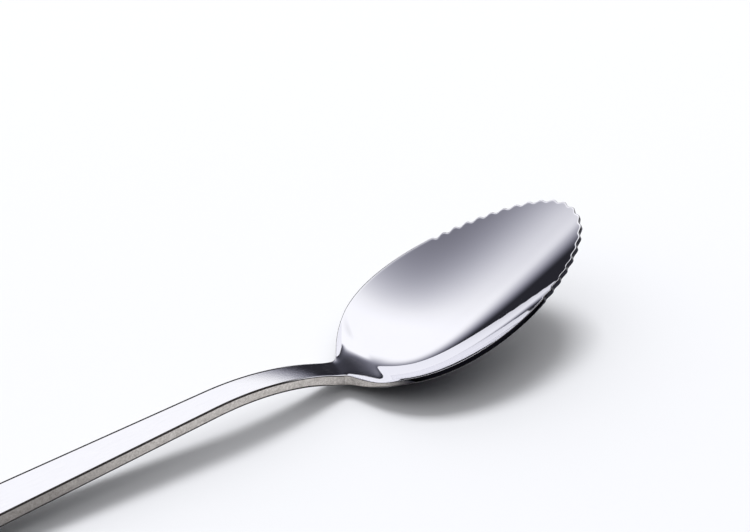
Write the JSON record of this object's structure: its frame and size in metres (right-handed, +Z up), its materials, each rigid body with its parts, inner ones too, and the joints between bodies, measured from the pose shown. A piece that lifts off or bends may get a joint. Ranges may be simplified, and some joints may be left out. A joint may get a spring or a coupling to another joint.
{
  "type": "grapefruit spoon",
  "caption": "Grapefruit spoon with a pointed, toothed bowl on a flat bar handle, for cutting and lifting citrus segments.",
  "frame": {"origin": "on the table under the middle of the spoon's length, as it rests on the bowl's underside and the handle's end", "axes": "+X along the spoon from the handle's end to the toothed tip, +Z up out of the hollow"},
  "size_m": [0.1564, 0.031, 0.021],
  "materials": {
    "bowl_steel": "mirror-polished stainless steel",
    "handle_steel": "polished faces, matte sheared sides"
  },
  "bodies": {
    "root": {"bowl": "bowl_steel", "handle": "handle_steel"}
  },
  "joints": []
}
